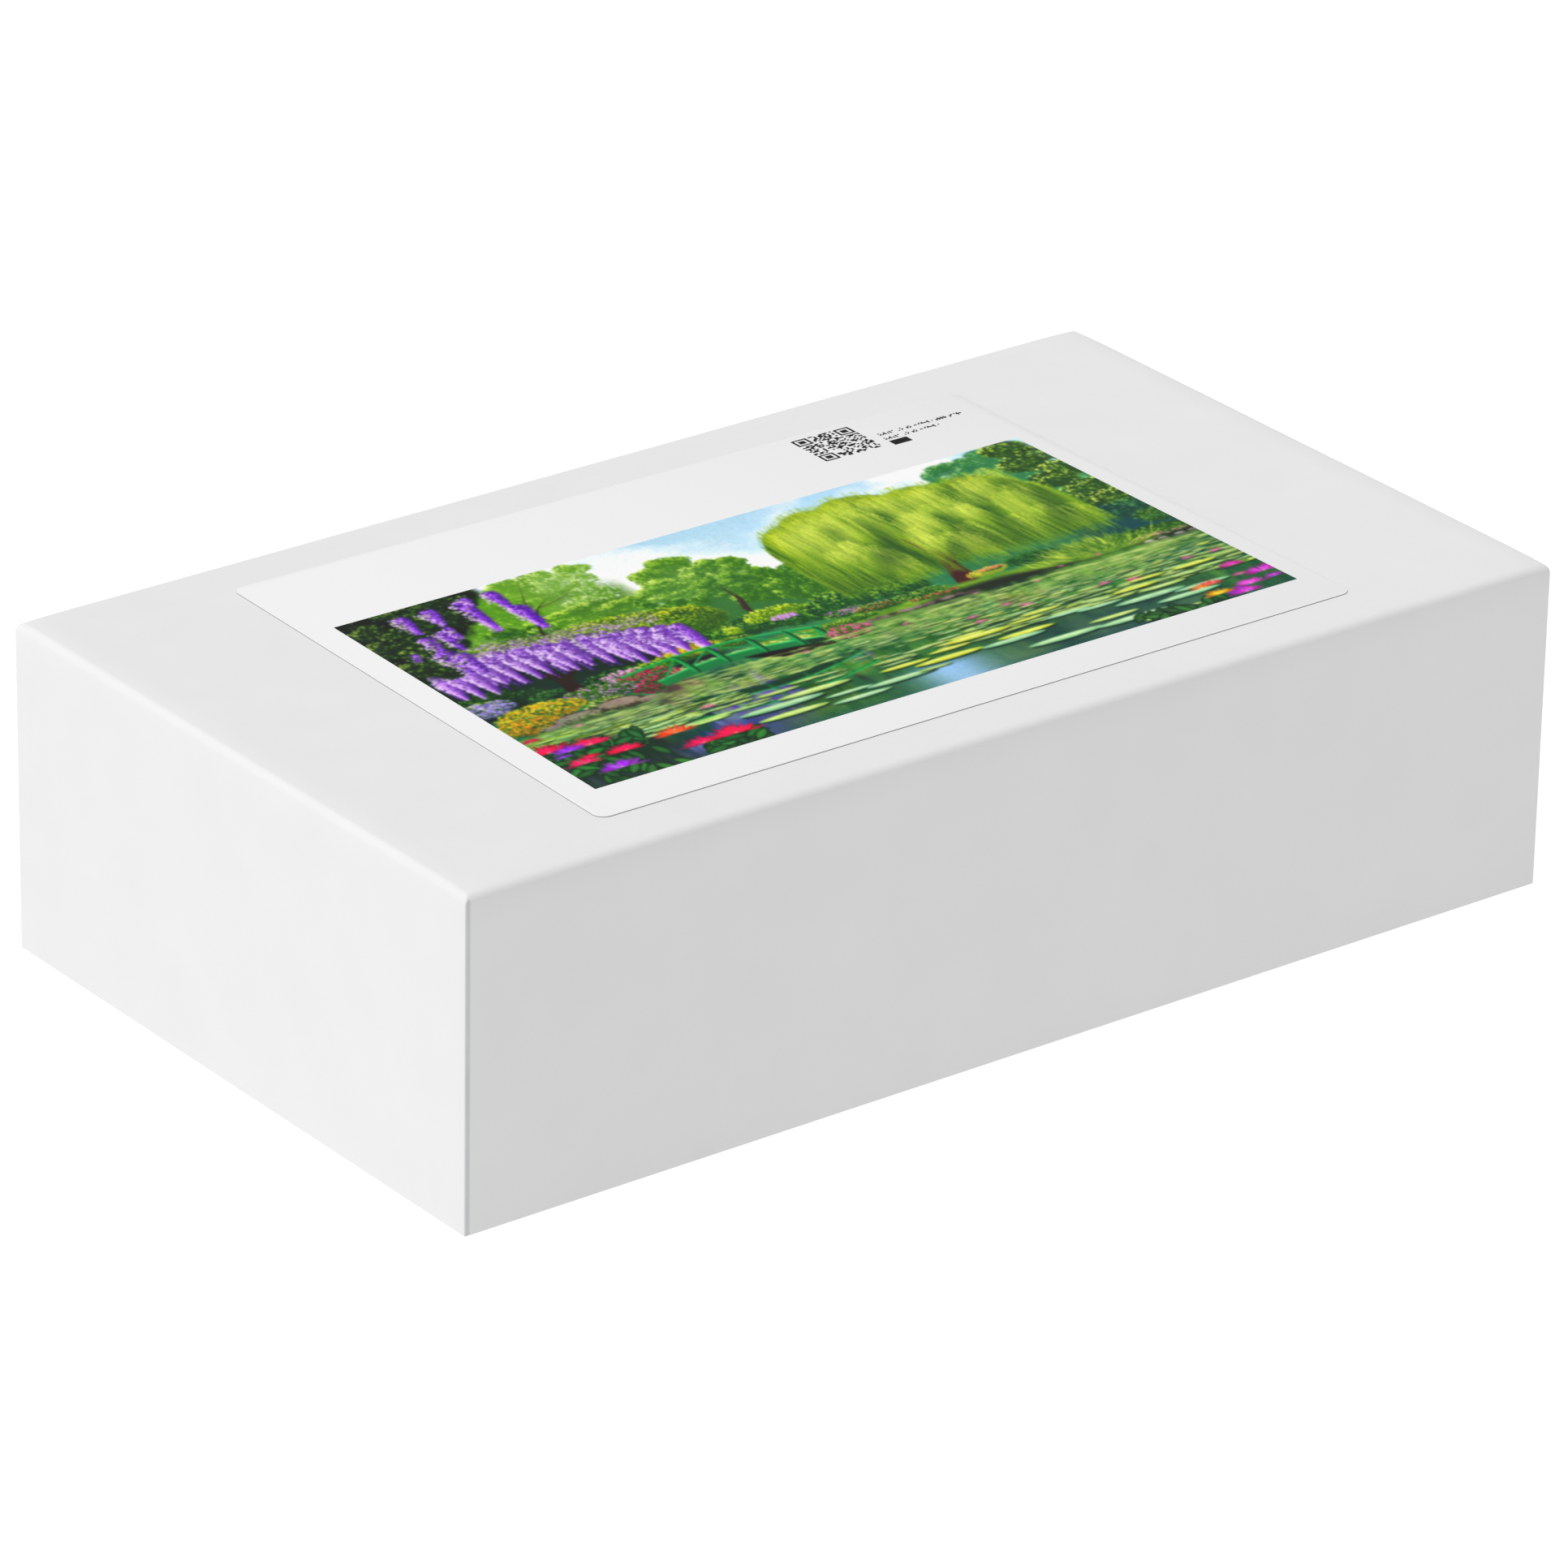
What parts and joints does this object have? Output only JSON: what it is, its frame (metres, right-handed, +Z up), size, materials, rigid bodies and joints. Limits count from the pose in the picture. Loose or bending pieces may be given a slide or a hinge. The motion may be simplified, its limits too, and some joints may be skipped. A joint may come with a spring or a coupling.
{
  "type": "boxed jigsaw puzzle",
  "caption": "Rigid white paper-wrapped box with a full-depth lift-off lid, a picture label on top and a sealed film bag of loose interlocking puzzle pieces inside.",
  "frame": {"origin": "centre of the underside of the closed box, on the surface that it stands on", "axes": "+X along the long side, towards the right end when the label is read; +Y towards the back, the top edge of the label; +Z up, the way the lid lifts"},
  "size_m": [0.308, 0.176, 0.0833],
  "materials": {
    "greyboard": "matte",
    "white_wrap": "matte",
    "printed_label": "satin",
    "stay_tape": "matte",
    "clear_film": "gloss",
    "puzzle_card": "satin"
  },
  "bodies": {
    "base": {"base_board": "greyboard", "base_wrap": "white_wrap", "base_bottom_sheet": "white_wrap", "base_stay_front_left": "stay_tape", "base_stay_front_right": "stay_tape", "base_stay_back_left": "stay_tape", "base_stay_back_right": "stay_tape"},
    "lid": {"lid_board": "greyboard", "lid_wrap": "white_wrap", "label": "printed_label", "lid_stay_front_left": "stay_tape", "lid_stay_front_right": "stay_tape", "lid_stay_back_left": "stay_tape", "lid_stay_back_right": "stay_tape"},
    "contents": {"piece_bag": "clear_film", "corner_pieces": "puzzle_card", "top_border_pieces": "puzzle_card", "bottom_border_pieces": "puzzle_card", "left_border_pieces": "puzzle_card", "right_border_pieces": "puzzle_card", "inner_pieces_row_2": "puzzle_card", "inner_pieces_row_3": "puzzle_card", "inner_pieces_row_4": "puzzle_card", "inner_pieces_row_5": "puzzle_card", "inner_pieces_row_6": "puzzle_card", "inner_pieces_row_7": "puzzle_card", "inner_pieces_row_8": "puzzle_card", "inner_pieces_row_9": "puzzle_card", "inner_pieces_row_10": "puzzle_card", "inner_pieces_row_11": "puzzle_card"}
  },
  "joints": [
    {"name": "lid_lift", "type": "slide", "parent": "base", "child": "lid", "axis": [0, 0, 1], "range_m": [0, 0.18]},
    {"name": "contents_lift", "type": "slide", "parent": "base", "child": "contents", "axis": [0, 0, 1], "range_m": [0, 0.09]}
  ],
  "couplings": [
    {"joint": "contents_lift", "follows": "lid_lift", "ratio": 0.5}
  ]
}
